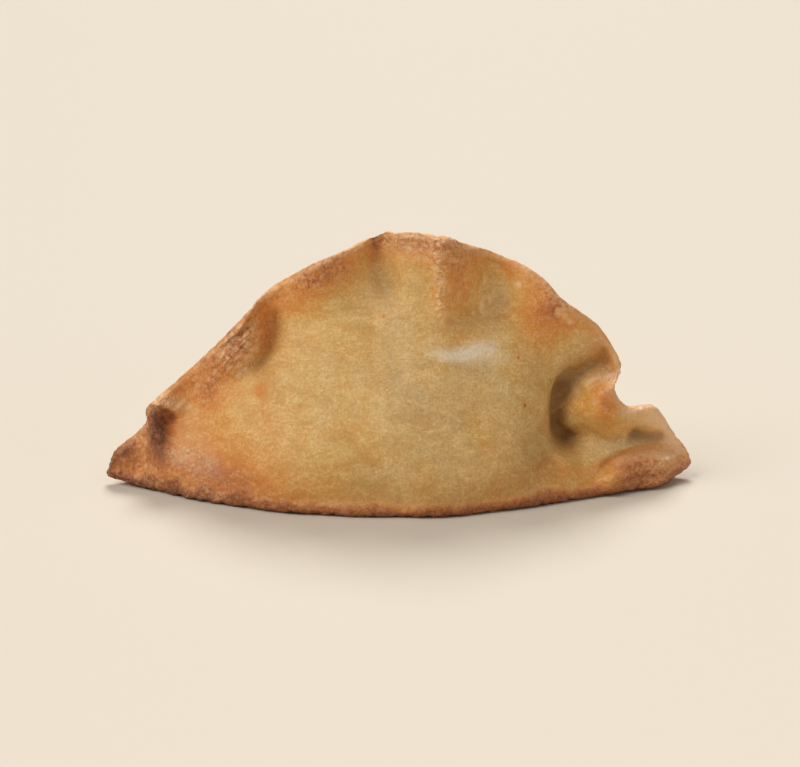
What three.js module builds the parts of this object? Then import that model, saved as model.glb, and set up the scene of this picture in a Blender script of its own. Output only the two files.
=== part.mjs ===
// An empanadilla: a baked half-moon turnover standing on its flat base, its pinched and
// pleated seam a wavy rim over the top. Millimetres, +Z up, front face towards -Y.

import * as THREE from 'three';
import { LoftGeometry } from 'three/addons/geometries/LoftGeometry.js';

const { clamp, degToRad, lerp, smoothstep } = THREE.MathUtils;

// Driving dimensions
const LENGTH = 127; // tip to tip
const HEIGHT = 56; // base to the crown of the rim
const DEPTH = 47; // front to back at the base
const RIM_THICKNESS = 3.2; // pinched dough at the edge of the seam
const NECK_THICKNESS = 4.4; // pinched dough where the seam meets the filled belly
const TIP_BEND = 4.5; // how far the right tip leans to the back
const BEND_REACH = 0.95; // share of the half length at which the right tip has its full bend
const BASE_EDGE = 1.2; // rounding where the walls meet the base
const BASE_LIP = 0.5; // browned crust standing out just over the base
const RIM_WEAR = 0.12; // unevenness of the rim's height
const LUMP = 0.3; // low waves over both faces

// Shape of the filled belly
const BELLY_REACH = 0.96; // share of the half length that is filled
const BELLY_TAPER = 2.4; // fullness along the length
const BELLY_POINT = 1.25; // how finely the belly runs out into the tips
const DOME_FULLNESS = 2.4; // fullness over the height
const DOME_SHOULDER = 1.55; // softness where the belly runs out into the seam
const SEAM_BLEND = 1.6; // how the belly and the seam flow into each other
const SWAY_REACH = 1.9; // pleats fade out this many seam widths below the rim
const TIP_THINNING = 0.12; // share of the half length over which the pinched tips get thin
const TIP_SHARE = 0.4; // share of the dough's thickness that is left at the tips
const FOLD_FADE = 0.22; // share of a fold's path over which each end fades
const RIM_RELIEF = 0.15; // share of the folds and swellings that is left at the edge of the rim
const DEEPEST = 0.3; // how far a fold may press past the middle, as a share of the half depth
const FLOOR_SOFTNESS = 0.8; // rounding where a fold reaches that depth

// Resolution
const SECTIONS_PER_RIB = 5;
const FACE_STEPS = 24;
const EVENNESS = 0.3; // 0 crowds the steps of a face to its foot and rim, 1 spaces them evenly
const BASE_STEPS = 4;
const FOLD_SAMPLES = 48;

// Ribs from the left tip to the right tip. rim and foot are shares of the half length and of
// the height, lean is how far the pleat swings out of the middle plane (minus is the front),
// neck is the share of the rib that lies below the pinched seam, and bow is how far the middle
// of the rib bends to the left. Lean and bow are millimetres.
const RIBS = [
  { rim: [-0.992, 0.076], foot: [-0.984, 0.022], lean: 0.0, neck: 0.45, bow: 0.0 },
  { rim: [-0.96, 0.142], foot: [-0.92, 0.012], lean: 0.3, neck: 0.55, bow: 0.0 },
  { rim: [-0.888, 0.202], foot: [-0.845, 0.002], lean: 1.4, neck: 0.62, bow: 0.0 },
  { rim: [-0.852, 0.262], foot: [-0.8, 0.0], lean: 0.6, neck: 0.68, bow: 0.0 },
  { rim: [-0.838, 0.332], foot: [-0.745, 0.0], lean: -2.8, neck: 0.74, bow: 0.0 },
  { rim: [-0.705, 0.452], foot: [-0.61, 0.0], lean: 1.8, neck: 0.78, bow: 0.0 },
  { rim: [-0.515, 0.684], foot: [-0.46, 0.0], lean: -3.4, neck: 0.8, bow: 0.0 },
  { rim: [-0.42, 0.765], foot: [-0.35, 0.0], lean: 2.5, neck: 0.82, bow: 0.0 },
  { rim: [-0.262, 0.894], foot: [-0.235, 0.0], lean: -3.2, neck: 0.82, bow: 0.0 },
  { rim: [-0.085, 0.96], foot: [-0.1, 0.0], lean: 3.3, neck: 0.8, bow: 0.0 },
  { rim: [0.03, 0.996], foot: [0.0, 0.0], lean: -0.6, neck: 0.8, bow: 0.0 },
  { rim: [0.15, 0.982], foot: [0.11, 0.0], lean: -4.0, neck: 0.8, bow: 0.0 },
  { rim: [0.315, 0.902], foot: [0.21, 0.0], lean: 3.0, neck: 0.8, bow: 0.0 },
  { rim: [0.455, 0.838], foot: [0.27, 0.0], lean: -0.8, neck: 0.8, bow: 0.0 },
  { rim: [0.55, 0.735], foot: [0.32, 0.0], lean: -2.6, neck: 0.8, bow: 0.6 },
  { rim: [0.675, 0.61], foot: [0.365, 0.0], lean: 2.4, neck: 0.76, bow: 2.6 },
  { rim: [0.757, 0.46], foot: [0.41, 0.0], lean: 1.6, neck: 0.72, bow: 4.6 },
  { rim: [0.728, 0.388], foot: [0.5, 0.0], lean: -5.6, neck: 0.66, bow: 5.4 },
  { rim: [0.78, 0.314], foot: [0.6, 0.0], lean: -4.4, neck: 0.62, bow: 2.0 },
  { rim: [0.87, 0.302], foot: [0.7, 0.0], lean: -1.8, neck: 0.6, bow: 0.0 },
  { rim: [0.942, 0.186], foot: [0.83, 0.0], lean: 0.6, neck: 0.58, bow: 0.0 },
  { rim: [0.985, 0.108], foot: [0.922, 0.016], lean: 0.6, neck: 0.52, bow: 0.0 },
  { rim: [1.008, 0.062], foot: [0.99, 0.045], lean: 0.4, neck: 0.45, bow: 0.0 },
];

// Creases (height below 0) and raised rolls (above 0) along a path over a face. Places are
// shares of the half length and of the height. reach is how far the fold spreads to the left
// and to the right of its path, seen along it. Heights and reaches are millimetres.
const FRONT_FOLDS = [
  {
    path: [[0.6, 0.46], [0.545, 0.385], [0.522, 0.305], [0.53, 0.22], [0.57, 0.175], [0.72, 0.16]],
    height: -7.6, reach: [2.8, 2.8],
  },
  {
    path: [[0.59, 0.52], [0.52, 0.4], [0.498, 0.3], [0.503, 0.2], [0.55, 0.06]],
    height: -1.8, reach: [2.0, 7.5],
  },
  {
    path: [[0.86, 0.46], [0.74, 0.45], [0.66, 0.43], [0.59, 0.375], [0.55, 0.29]],
    height: -3.4, reach: [2.0, 3.4],
  },
  {
    path: [[-0.08, 1.08], [-0.062, 0.94], [-0.045, 0.85], [-0.01, 0.68]],
    height: -3.8, reach: [2.6, 2.8],
  },
  { path: [[0.12, 1.0], [0.127, 0.9], [0.137, 0.78], [0.165, 0.64]], height: 1.7, reach: [4.0, 2.0] },
  { path: [[0.29, 1.0], [0.33, 0.8], [0.345, 0.62]], height: -3.0, reach: [3.0, 3.0] },
  { path: [[-0.9, 0.345], [-0.83, 0.33], [-0.78, 0.3], [-0.74, 0.25]], height: -2.2, reach: [2.0, 2.2] },
  { path: [[0.74, 0.235], [0.8, 0.2], [0.86, 0.195], [0.93, 0.215]], height: -3.0, reach: [2.0, 2.0] },
  { path: [[-0.45, 0.8], [-0.43, 0.66], [-0.44, 0.56], [-0.5, 0.46]], height: -2.4, reach: [3.0, 2.8] },
  { path: [[0.62, 0.05], [0.74, 0.1], [0.85, 0.115], [0.99, 0.09]], height: 3.4, reach: [2.0, 3.0] },
  { path: [[0.63, 0.1], [0.74, 0.14], [0.85, 0.15], [0.96, 0.13]], height: -1.6, reach: [3.0, 2.0] },
  { path: [[-0.6, 0.55], [-0.56, 0.585], [-0.51, 0.64], [-0.48, 0.7]], height: -0.8, reach: [2.2, 2.2] },
  { path: [[0.63, 0.44], [0.68, 0.43], [0.73, 0.415], [0.8, 0.39]], height: 1.4, reach: [2.0, 2.0] },
];
const BACK_FOLDS = [
  { path: [[-0.68, 0.52], [-0.57, 0.38], [-0.48, 0.24]], height: -1.9, reach: [2.0, 2.6] },
  { path: [[0.13, 1.06], [0.1, 0.82], [0.05, 0.64]], height: -2.1, reach: [2.6, 2.0] },
  { path: [[-0.36, 0.93], [-0.27, 0.72], [-0.18, 0.58]], height: -1.7, reach: [2.0, 2.6] },
  { path: [[0.58, 0.78], [0.48, 0.58], [0.36, 0.44]], height: -1.9, reach: [2.8, 2.0] },
];

// Swellings of a face. reach is the half size along and up, turn is in degrees, and a firmness
// over 1 gives a flatter top with steeper sides.
const FRONT_SWELLS = [
  { at: [0.695, 0.29], reach: [5.0, 5.5], turn: 0, height: 3.4, firmness: 1.3 },
  { at: [0.73, 0.2], reach: [8.5, 6.0], turn: 0, height: 1.6, firmness: 1.0 },
  { at: [0.84, 0.03], reach: [8.5, 4.6], turn: 4, height: 5.6, firmness: 1.0 },
  { at: [0.857, 0.262], reach: [3.5, 3.0], turn: 0, height: 1.2, firmness: 1.0 },
  { at: [0.154, 0.79], reach: [4.0, 9.0], turn: 0, height: 1.2, firmness: 1.0 },
  { at: [-0.55, 0.53], reach: [4.0, 6.5], turn: -40, height: 1.6, firmness: 1.0 },
  { at: [-0.803, 0.225], reach: [2.2, 6.0], turn: 4, height: 2.4, firmness: 1.0 },
];
const BACK_SWELLS = [
  { at: [-0.7, 0.2], reach: [7.0, 5.0], turn: 20, height: 1.4, firmness: 1.0 },
  { at: [-0.02, 0.72], reach: [8.0, 7.0], turn: 0, height: 1.2, firmness: 1.0 },
  { at: [0.55, 0.22], reach: [8.0, 6.0], turn: -15, height: 1.5, firmness: 1.0 },
];

// Low waves over the faces, in radians per millimetre along and up, and uneven waves of the
// rim's height, in radians per rib. size is the share of LUMP and of RIM_WEAR.
const LUMP_WAVES = [
  { along: 0.21, up: 0.13, start: 0.0, size: 1.0 },
  { along: 0.17, up: -0.29, start: 1.3, size: 1.0 },
  { along: 0.37, up: 0.23, start: 2.1, size: 0.7 },
];
const RIM_WAVES = [
  { pace: 4.3, start: 1.0, size: 1.0 },
  { pace: 7.9, start: 0.0, size: 0.7 },
];

const halfLength = LENGTH / 2;

function place([along, up]) {
  return new THREE.Vector2(along * halfLength, up * HEIGHT);
}

function foldsOf(list) {
  return list.map(({ path, height, reach }) => {
    const samples = new THREE.SplineCurve(path.map(place)).getPoints(FOLD_SAMPLES);
    return { samples, height, reach };
  });
}

function swellsOf(list) {
  return list.map(({ at, turn, ...swell }) => ({ centre: place(at), angle: degToRad(turn), ...swell }));
}

const front = { side: -1, folds: foldsOf(FRONT_FOLDS), swells: swellsOf(FRONT_SWELLS) };
const back = { side: 1, folds: foldsOf(BACK_FOLDS), swells: swellsOf(BACK_SWELLS) };

function sum(values) {
  return values.reduce((total, value) => total + value, 0);
}

function bell(distance) {
  return Math.exp(-distance * distance);
}

function softMaximum(first, second) {
  return (first + second + Math.hypot(first - second, FLOOR_SOFTNESS)) / 2;
}

// Where a fold's path comes closest to a place
function closest(samples, point) {
  let found = { distance: Infinity };
  for (let step = 0; step < FOLD_SAMPLES; step += 1) {
    const run = samples[step + 1].clone().sub(samples[step]);
    const offset = point.clone().sub(samples[step]);
    const part = clamp(offset.dot(run) / run.lengthSq(), 0, 1);
    const distance = offset.distanceTo(run.clone().multiplyScalar(part));
    if (distance < found.distance) {
      found = { distance, onLeft: run.cross(offset) > 0, travelled: (step + part) / FOLD_SAMPLES };
    }
  }
  return found;
}

// Share of a fold at a place: 1 on its path, fading out to its sides and ends
function foldShare(fold, point) {
  const { distance, onLeft, travelled } = closest(fold.samples, point);
  const toEnd = Math.min(travelled, 1 - travelled);
  return smoothstep(toEnd, 0, FOLD_FADE) * bell(distance / fold.reach[onLeft ? 0 : 1]);
}

// Relief of a face at a place on it, outwards
function relief(face, point) {
  let height = 0;
  for (const fold of face.folds) height += fold.height * foldShare(fold, point);
  for (const swell of face.swells) {
    const offset = point.clone().rotateAround(swell.centre, -swell.angle).sub(swell.centre);
    const distance = Math.hypot(offset.x / swell.reach[0], offset.y / swell.reach[1]);
    height += swell.height * bell(distance ** swell.firmness);
  }
  return height + lumps(face, point);
}

function lumps(face, { x, y }) {
  const waves = LUMP_WAVES.map(({ along, up, start, size }) => (
    size * Math.sin(along * x + up * y + start + face.side)));
  return LUMP * sum(waves);
}

function wear(station) {
  return RIM_WEAR * sum(RIM_WAVES.map(({ pace, start, size }) => size * Math.sin(pace * station + start)));
}

// Smooth curves through the ribs' rims, feet, necks and bows
const smoothCurve = (points) => new THREE.CatmullRomCurve3(points, false, 'catmullrom');
const rimCurve = smoothCurve(RIBS.map(({ rim, lean }) => (
  new THREE.Vector3(rim[0] * halfLength, lean, rim[1] * HEIGHT))));
const footCurve = smoothCurve(RIBS.map(({ foot }) => (
  new THREE.Vector3(foot[0] * halfLength, 0, foot[1] * HEIGHT))));
const shapeCurve = smoothCurve(RIBS.map(({ neck, bow }, index) => new THREE.Vector3(index, neck, bow)));

function ribAt(station) {
  const share = station / (RIBS.length - 1);
  const rim = rimCurve.getPoint(share);
  const foot = footCurve.getPoint(share);
  foot.z = Math.max(0, foot.z);
  const { y: neck, z: bow } = shapeCurve.getPoint(share);
  rim.z += wear(station) * Math.sin(Math.PI * share);
  return { rim, foot, neck, bow, length: Math.hypot(rim.x - foot.x, rim.z - foot.z) };
}

function bend(x) {
  return TIP_BEND * smoothstep(x / halfLength, 0, BEND_REACH);
}

function bellyHalfDepth(x) {
  const along = Math.min(1, Math.abs(x) / (BELLY_REACH * halfLength));
  return (DEPTH / 2) * (1 - along ** BELLY_TAPER) ** BELLY_POINT;
}

function dome(share) {
  return (1 - Math.min(1, share) ** DOME_FULLNESS) ** DOME_SHOULDER;
}

// Quarter round from 0 at an edge to 1 a given distance away from it
function rounding(distance, radius) {
  const away = 1 - clamp(distance / radius, 0, 1);
  return Math.sqrt(1 - away * away);
}

// Point of a face on a rib, from share 0 at the foot to 1 at the rim
function facePoint(face, rib, share) {
  const aside = (rib.bow / rib.length) * 4 * share * (1 - share);
  const x = lerp(rib.foot.x, rib.rim.x, share) - (rib.rim.z - rib.foot.z) * aside;
  const z = lerp(rib.foot.z, rib.rim.z, share) + (rib.rim.x - rib.foot.x) * aside;
  const aboveBase = share * rib.length;
  const belowRim = (1 - share) * rib.length;
  const seam = (1 - rib.neck) * rib.length;

  const sway = rib.rim.y * smoothstep(1 - belowRim / (SWAY_REACH * seam), 0, 1);
  const middle = bend(x) + sway;

  const thinning = lerp(TIP_SHARE, 1, smoothstep(1 - Math.abs(x) / halfLength, 0, TIP_THINNING));
  const dough = (lerp(RIM_THICKNESS, NECK_THICKNESS, clamp(belowRim / seam, 0, 1)) / 2) * thinning;
  const filling = bellyHalfDepth(x) * dome(share / rib.neck);
  let half = (dough ** SEAM_BLEND + filling ** SEAM_BLEND) ** (1 / SEAM_BLEND);
  half += BASE_LIP * bell(aboveBase / BASE_EDGE - 1);
  half -= Math.min(BASE_EDGE, half / 2) * (1 - rounding(aboveBase, BASE_EDGE));
  half *= rounding(belowRim, RIM_THICKNESS / 2);

  const awayFromRim = lerp(RIM_RELIEF, 1, clamp(belowRim / RIM_THICKNESS, 0, 1));
  const raised = half + relief(face, new THREE.Vector2(x, z)) * awayFromRim;
  const outward = softMaximum(raised, -DEEPEST * half);
  return new THREE.Vector3(x, middle + face.side * outward, z);
}

// Shares along a rib, closer together at the foot and at the rim
const shares = Array.from({ length: FACE_STEPS + 1 }, (_, step) => {
  const even = step / FACE_STEPS;
  return lerp(0.5 - 0.5 * Math.cos(Math.PI * even), even, EVENNESS);
});

// Closed outline of one rib: over the base, up the back, over the rim and down the front
function section(station) {
  const rib = ribAt(station);
  const down = shares.map((share) => facePoint(front, rib, share)).reverse();
  const up = shares.map((share) => facePoint(back, rib, share));
  const frontFoot = down.pop();
  const base = Array.from({ length: BASE_STEPS }, (_, step) => (
    frontFoot.clone().lerp(up[0], step / BASE_STEPS)));
  down.shift();
  return [...base, ...up, ...down];
}

function turnover() {
  const count = (RIBS.length - 1) * SECTIONS_PER_RIB;
  const sections = Array.from({ length: count + 1 }, (_, index) => section(index / SECTIONS_PER_RIB));
  const geometry = new LoftGeometry(sections, { capStart: true, capEnd: true });
  geometry.computeBoundingBox();
  const { min, max } = geometry.boundingBox;
  return geometry.translate(-(min.x + max.x) / 2, -(min.y + max.y) / 2, -min.z);
}

const crust = new THREE.MeshStandardMaterial({ color: 0xc49a5a, roughness: 0.6, metalness: 0 });
const empanadilla = new THREE.Mesh(turnover(), crust);
empanadilla.name = 'empanadilla';

const group = new THREE.Group();
group.add(empanadilla);

export default group;
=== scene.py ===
# An empanadilla on a pale floor: a baked turnover with a pinched, pleated seam over the top.
import math
import bpy
import numpy as np
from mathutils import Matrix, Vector, kdtree


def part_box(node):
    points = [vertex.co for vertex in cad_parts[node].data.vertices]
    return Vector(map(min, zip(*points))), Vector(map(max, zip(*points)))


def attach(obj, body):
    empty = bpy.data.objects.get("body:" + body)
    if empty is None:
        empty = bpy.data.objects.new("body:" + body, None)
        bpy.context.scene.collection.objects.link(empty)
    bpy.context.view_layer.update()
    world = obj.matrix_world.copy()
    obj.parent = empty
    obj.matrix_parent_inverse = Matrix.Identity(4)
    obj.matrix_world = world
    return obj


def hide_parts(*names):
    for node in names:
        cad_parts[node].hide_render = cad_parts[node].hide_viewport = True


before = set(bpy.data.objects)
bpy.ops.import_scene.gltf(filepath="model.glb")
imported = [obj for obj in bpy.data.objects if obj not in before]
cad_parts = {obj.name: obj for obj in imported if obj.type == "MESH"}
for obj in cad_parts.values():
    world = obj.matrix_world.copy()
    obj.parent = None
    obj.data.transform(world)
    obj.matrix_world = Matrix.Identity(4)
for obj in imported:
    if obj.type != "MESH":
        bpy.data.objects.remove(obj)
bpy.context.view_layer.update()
mmPerMetre = 1000
pastryBox = [np.array(corner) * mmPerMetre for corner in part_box("empanadilla")]
print("frame loaded, pastry box in mm:", pastryBox[1] - pastryBox[0])


# Shape of the turnover, in millimetres until the mesh is made

form = {
    "length": 127.0,          # tip to tip
    "height": 56.0,           # base to the crown of the rim
    "depth": 47.0,            # front to back at the base, before the folds
    "rimThickness": 3.2,
    "neckThickness": 4.4,     # where the seam meets the belly
    "tipBend": 4.5,           # the right tip leans to the back
    "tipBendEnd": 0.95,       # share of the half length where it leans fully
    "baseEdge": 1.2,          # rounding of the base edge
    "baseLip": 0.5,           # how far the dough spreads over it
    "rimWear": 0.12,          # height of the small waves along the rim
    "rimWaves": [             # radians to a rib, start and strength
        (4.3, 1.0, 1.0),
        (7.9, 0.0, 0.7),
    ],
    "lump": 0.3,              # height of the slow waves over each face
    "lumpWaves": [            # radians to a mm along and up, start, shift for each side, strength
        (0.21, 0.13, 0.0, 1.0, 1.0),
        (0.17, -0.29, 1.3, 0.0, 1.0),
        (0.37, 0.23, 0.0, 2.1, 0.7),
    ],
    "bellyReach": 0.96,       # share of the half length that is filled
    "bellyTaper": 2.4,
    "bellyPoint": 1.25,       # how finely the belly runs out into the tips
    "tipThinning": 0.12,      # share of the half length over which the pinched tips get thin
    "tipDough": 0.4,          # share of the dough's thickness that is left there
    "domeFullness": 2.4,      # how round the belly is from base to seam
    "domeShoulder": 1.55,
    "seamBlend": 1.6,         # how softly the belly runs into the seam
    "swayReach": 1.9,         # pleats fade out this many seam widths below the rim
    "foldFade": 0.22,         # share of a fold's path over which each end fades
    "rimRelief": 0.15,        # share of the folds' height that is left at the rim
    "deepest": 0.3,           # share of the half thickness that a crease may pass the middle
    "softness": 0.8,          # rounding where a crease comes to its end
    "columns": 400,           # mesh columns from tip to tip
    "faceRows": 118,          # mesh rows up each face
    "evenRows": 0.45,         # share of even spacing, the rest gathers at the rim and the base
    "baseRows": 12,
    "tipRound": 0.6,          # how far the closed tips stand out
}

# Ribs from the left tip to the right tip: rim along, rim up, foot along, foot up (shares of the
# half length and the height), lean of the pleat in mm (minus is the front), neck share, and
# how far the middle of the rib bows to the left in mm
ribs = [
    (-0.992, 0.06, -0.99, 0.034, 0.0, 0.45, 0.0),
    (-0.98, 0.098, -0.974, 0.026, 0.0, 0.45, 0.0),
    (-0.96, 0.142, -0.92, 0.012, 0.3, 0.55, 0.0),
    (-0.888, 0.202, -0.845, 0.002, 1.4, 0.62, 0.0),
    (-0.852, 0.262, -0.8, 0.0, 0.6, 0.68, 0.0),
    (-0.838, 0.332, -0.745, 0.0, -2.8, 0.74, 0.0),
    (-0.705, 0.452, -0.61, 0.0, 1.8, 0.78, 0.0),
    (-0.515, 0.684, -0.46, 0.0, -3.4, 0.8, 0.0),
    (-0.42, 0.778, -0.35, 0.0, 2.5, 0.82, 0.0),
    (-0.262, 0.894, -0.235, 0.0, -3.2, 0.82, 0.0),
    (-0.085, 0.966, -0.1, 0.0, 3.3, 0.8, 0.0),
    (-0.002, 0.998, 0.0, 0.0, -0.6, 0.8, 0.0),
    (0.15, 0.992, 0.11, 0.0, -4.0, 0.8, 0.0),
    (0.315, 0.902, 0.21, 0.0, 3.0, 0.8, 0.0),
    (0.455, 0.838, 0.27, 0.0, -0.8, 0.8, 0.0),
    (0.55, 0.735, 0.32, 0.0, -2.6, 0.8, 0.6),
    (0.675, 0.61, 0.365, 0.0, 2.4, 0.76, 2.6),
    (0.757, 0.46, 0.41, 0.0, 1.6, 0.72, 4.6),
    (0.728, 0.388, 0.5, 0.0, -5.6, 0.66, 5.4),
    (0.78, 0.314, 0.6, 0.0, -4.4, 0.62, 2.0),
    (0.87, 0.302, 0.7, 0.0, -1.8, 0.6, 0.0),
    (0.942, 0.186, 0.83, 0.0, 0.6, 0.58, 0.0),
    (0.985, 0.12, 0.922, 0.016, 0.6, 0.52, 0.0),
    (1.008, 0.075, 0.99, 0.045, 0.4, 0.45, 0.0),
]

# Folds run along a path over a face: creases below 0, rolls above 0, with how far each reaches to
# the left and to the right of its path. A painted shade or a pale line, in places a painted
# highlight, may follow a fold. Swells, and all spots further down, are ovals: middle as shares of
# the half length and the height, reach to the side and up in mm, turn in degrees
frontFace = {
    "side": -1,
    "folds": [
        {"path": [(0.6, 0.46), (0.545, 0.385), (0.522, 0.305), (0.53, 0.22), (0.57, 0.18), (0.66, 0.17)],
         "height": -8.5, "reach": (2.8, 1.1), "shade": 0.38},  # groove beside the big fold
        {"path": [(0.59, 0.52), (0.52, 0.4), (0.498, 0.3), (0.503, 0.2), (0.55, 0.06)],
         "height": -1.8, "reach": (1.5, 5.0)},                # belly rolls off into the groove
        {"path": [(0.745, 0.463), (0.69, 0.456), (0.635, 0.434), (0.585, 0.38), (0.55, 0.29)],
         "height": -3.4, "reach": (0.9, 3.6), "shade": 0.46},  # crease above the big fold
        {"path": [(-0.08, 1.08), (-0.062, 0.94), (-0.045, 0.85), (-0.01, 0.68)],
         "height": -4.2, "reach": (2.2, 2.6), "shade": 0.27},  # crease left of the crown
        {"path": [(0.12, 1.0), (0.127, 0.9), (0.137, 0.78), (0.165, 0.64)],
         "height": 1.7, "reach": (4.0, 1.4)},                 # ridge right of the crown
        {"path": [(0.29, 1.0), (0.33, 0.8), (0.345, 0.62)],
         "height": -2.4, "reach": (3.0, 3.0), "shade": 0.05},  # pale valley right of the ridge
        {"path": [(-0.9, 0.345), (-0.83, 0.33), (-0.78, 0.3), (-0.74, 0.25)],
         "height": -2.2, "reach": (0.6, 2.2), "shade": 0.25},  # under the flap at the left
        {"path": [(0.77, 0.215), (0.81, 0.193), (0.86, 0.18), (0.93, 0.195)],
         "height": -2.2, "reach": (1.7, 1.6), "shade": 0.58},  # under the small bump at the right
        {"path": [(-0.44, 0.7), (-0.43, 0.62), (-0.447, 0.54), (-0.5, 0.46)],
         "height": -2.7, "reach": (2.4, 1.4), "shade": 0.12},  # behind the left roll
        {"path": [(0.65, 0.055), (0.75, 0.1), (0.85, 0.117), (0.99, 0.09)],
         "height": 4.4, "reach": (0.6, 4.0)},                 # edge of the right roll
        {"path": [(0.66, 0.085), (0.74, 0.124), (0.85, 0.14), (0.94, 0.12)],
         "height": -0.8, "reach": (0.9, 0.6)},                # crease over the right roll
        {"path": [(-0.6, 0.55), (-0.56, 0.585), (-0.51, 0.64), (-0.48, 0.7)],
         "height": -1.4, "reach": (0.5, 1.2), "shade": 0.3},  # slit in the left roll
        {"path": [(0.53, 0.39), (0.58, 0.44), (0.63, 0.472), (0.7, 0.49)],
         "height": 1.5, "reach": (4.0, 1.3)},                 # lobe over the groove
        {"path": [(0.6, 0.365), (0.64, 0.402), (0.68, 0.425), (0.74, 0.428), (0.8, 0.405)],
         "height": 1.8, "reach": (0.5, 1.8)},                 # ledge on the big fold
        {"path": [(0.62, 0.39), (0.66, 0.416), (0.7, 0.428), (0.76, 0.422)],
         "height": 0.2, "reach": (0.5, 0.7), "pale": 0.7},    # pale edge of the ledge, partly a painted highlight
        {"path": [(-0.9, 0.37), (-0.83, 0.355), (-0.77, 0.325), (-0.73, 0.28)],
         "height": 0.9, "reach": (1.4, 0.5), "pale": 0.4},    # pale edge of the flap
        {"path": [(0.7, 0.1), (0.78, 0.122), (0.86, 0.125), (0.95, 0.1)],
         "height": 0.3, "reach": (0.5, 0.4), "pale": 1.2},    # pale edge of the right roll, partly a painted highlight
        {"path": [(0.85, 0.31), (0.9, 0.235), (0.94, 0.17), (0.99, 0.1)],
         "height": 0.2, "reach": (2.2, 1.9), "pale": 1.4},    # pale side of the right tip, partly painted light on its shaded side
        {"path": [(0.74, 0.31), (0.78, 0.3), (0.82, 0.3), (0.87, 0.3)],
         "height": 0.2, "reach": (1.0, 1.0), "pale": 0.8},    # pale edge of the small bump, partly painted light
    ],
    "swells": [
        {"at": (0.695, 0.29), "reach": (5.0, 5.5), "turn": 0, "height": 3.4, "firmness": 1.3},  # big fold
        {"at": (0.73, 0.2), "reach": (8.5, 6.0), "turn": 0, "height": 1.0},         # foot of the big fold
        {"at": (0.87, 0.02), "reach": (6.5, 3.6), "turn": 4, "height": 4.4},        # right roll
        {"at": (0.77, 0.155), "reach": (7.0, 3.2), "turn": 8, "height": 1.5},       # over the right roll
        {"at": (0.857, 0.262), "reach": (3.5, 3.0), "turn": 0, "height": 1.2},      # small bump
        {"at": (0.154, 0.79), "reach": (4.0, 9.0), "turn": 0, "height": 1.2},       # ridge by the crown
        {"at": (-0.55, 0.53), "reach": (4.0, 6.5), "turn": -40, "height": 2.8, "firmness": 1.2},  # left roll
        {"at": (-0.803, 0.225), "reach": (2.2, 6.0), "turn": 4, "height": 2.4},     # left pillar
    ],
}
backFace = {
    "side": 1,
    "folds": [
        {"path": [(-0.68, 0.52), (-0.57, 0.38), (-0.48, 0.24)],
         "height": -1.9, "reach": (1.2, 2.6)},
        {"path": [(0.13, 1.06), (0.1, 0.82), (0.05, 0.64)],
         "height": -2.1, "reach": (2.6, 1.3)},
        {"path": [(-0.36, 0.93), (-0.27, 0.72), (-0.18, 0.58)],
         "height": -1.7, "reach": (1.4, 2.6)},
        {"path": [(0.58, 0.78), (0.48, 0.58), (0.36, 0.44)],
         "height": -1.9, "reach": (2.8, 1.2)},
    ],
    "swells": [
        {"at": (-0.7, 0.2), "reach": (7.0, 5.0), "turn": 20, "height": 1.4},
        {"at": (-0.02, 0.72), "reach": (8.0, 7.0), "turn": 0, "height": 1.2},
        {"at": (0.55, 0.22), "reach": (8.0, 6.0), "turn": -15, "height": 1.5},
    ],
}

halfLength = form["length"] / 2


def smoothStep(value, low, high):
    share = np.clip((value - low) / (high - low), 0, 1)
    return share * share * (3 - 2 * share)


def bell(distance):
    return np.exp(-distance ** 2)


def softMaximum(first, second):
    return (first + second + np.hypot(first - second, form["softness"])) / 2


def rounding(distance, radius):                   # quarter round, 0 at an edge and 1 past the radius
    away = 1 - np.clip(distance / radius, 0, 1)
    return np.sqrt(1 - away ** 2)


def curveThrough(points, stations):               # Catmull-Rom, station i passes point i
    points = np.array(points, float)
    padded = np.vstack([2 * points[0] - points[1], points, 2 * points[-1] - points[-2]])
    first = np.clip(np.floor(stations).astype(int), 0, len(points) - 2)
    part = (stations - first)[:, None]
    before, start, end, after = (padded[first + step] for step in range(4))
    leave = (end - before) / 2
    arrive = (after - start) / 2
    cubic = 2 * start - 2 * end + leave + arrive
    square = 3 * end - 3 * start - 2 * leave - arrive
    return cubic * part ** 3 + square * part ** 2 + leave * part + start


def place(spot):                                  # shares of half length and height to mm
    return np.array(spot) * (halfLength, form["height"])


def foldShare(fold, x, z, samples=48):            # 1 on the path, fading out to its sides and ends
    path = np.array([place(spot) for spot in fold["path"]])
    line = curveThrough(path, np.linspace(0, len(path) - 1, samples))
    nearest = np.full(x.shape, np.inf)
    onLeft = np.zeros(x.shape, bool)
    travelled = np.zeros(x.shape)
    for step, (start, run) in enumerate(zip(line, np.diff(line, axis=0))):
        dx, dz = x - start[0], z - start[1]
        part = np.clip((dx * run[0] + dz * run[1]) / (run @ run), 0, 1)
        distance = np.hypot(dx - part * run[0], dz - part * run[1])
        closer = distance < nearest
        nearest = np.where(closer, distance, nearest)
        onLeft = np.where(closer, run[0] * dz > run[1] * dx, onLeft)
        travelled = np.where(closer, (step + part) / (samples - 1), travelled)
    fade = smoothStep(np.minimum(travelled, 1 - travelled), 0, form["foldFade"])
    return fade * bell(nearest / np.where(onLeft, *fold["reach"]))


def spotDistance(spot, x, z):                     # 0 in the middle, 1 at the reach
    centre = place(spot["at"])
    turn = math.radians(spot["turn"])
    along = (x - centre[0]) * math.cos(turn) + (z - centre[1]) * math.sin(turn)
    up = (z - centre[1]) * math.cos(turn) - (x - centre[0]) * math.sin(turn)
    return np.hypot(along / spot["reach"][0], up / spot["reach"][1])


def slowWaves(face, x, z):
    waves = np.zeros(x.shape)
    for perLength, perHeight, start, perSide, strength in form["lumpWaves"]:
        waves += strength * np.sin(perLength * x + perHeight * z + start + perSide * face["side"])
    return form["lump"] * waves


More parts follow.
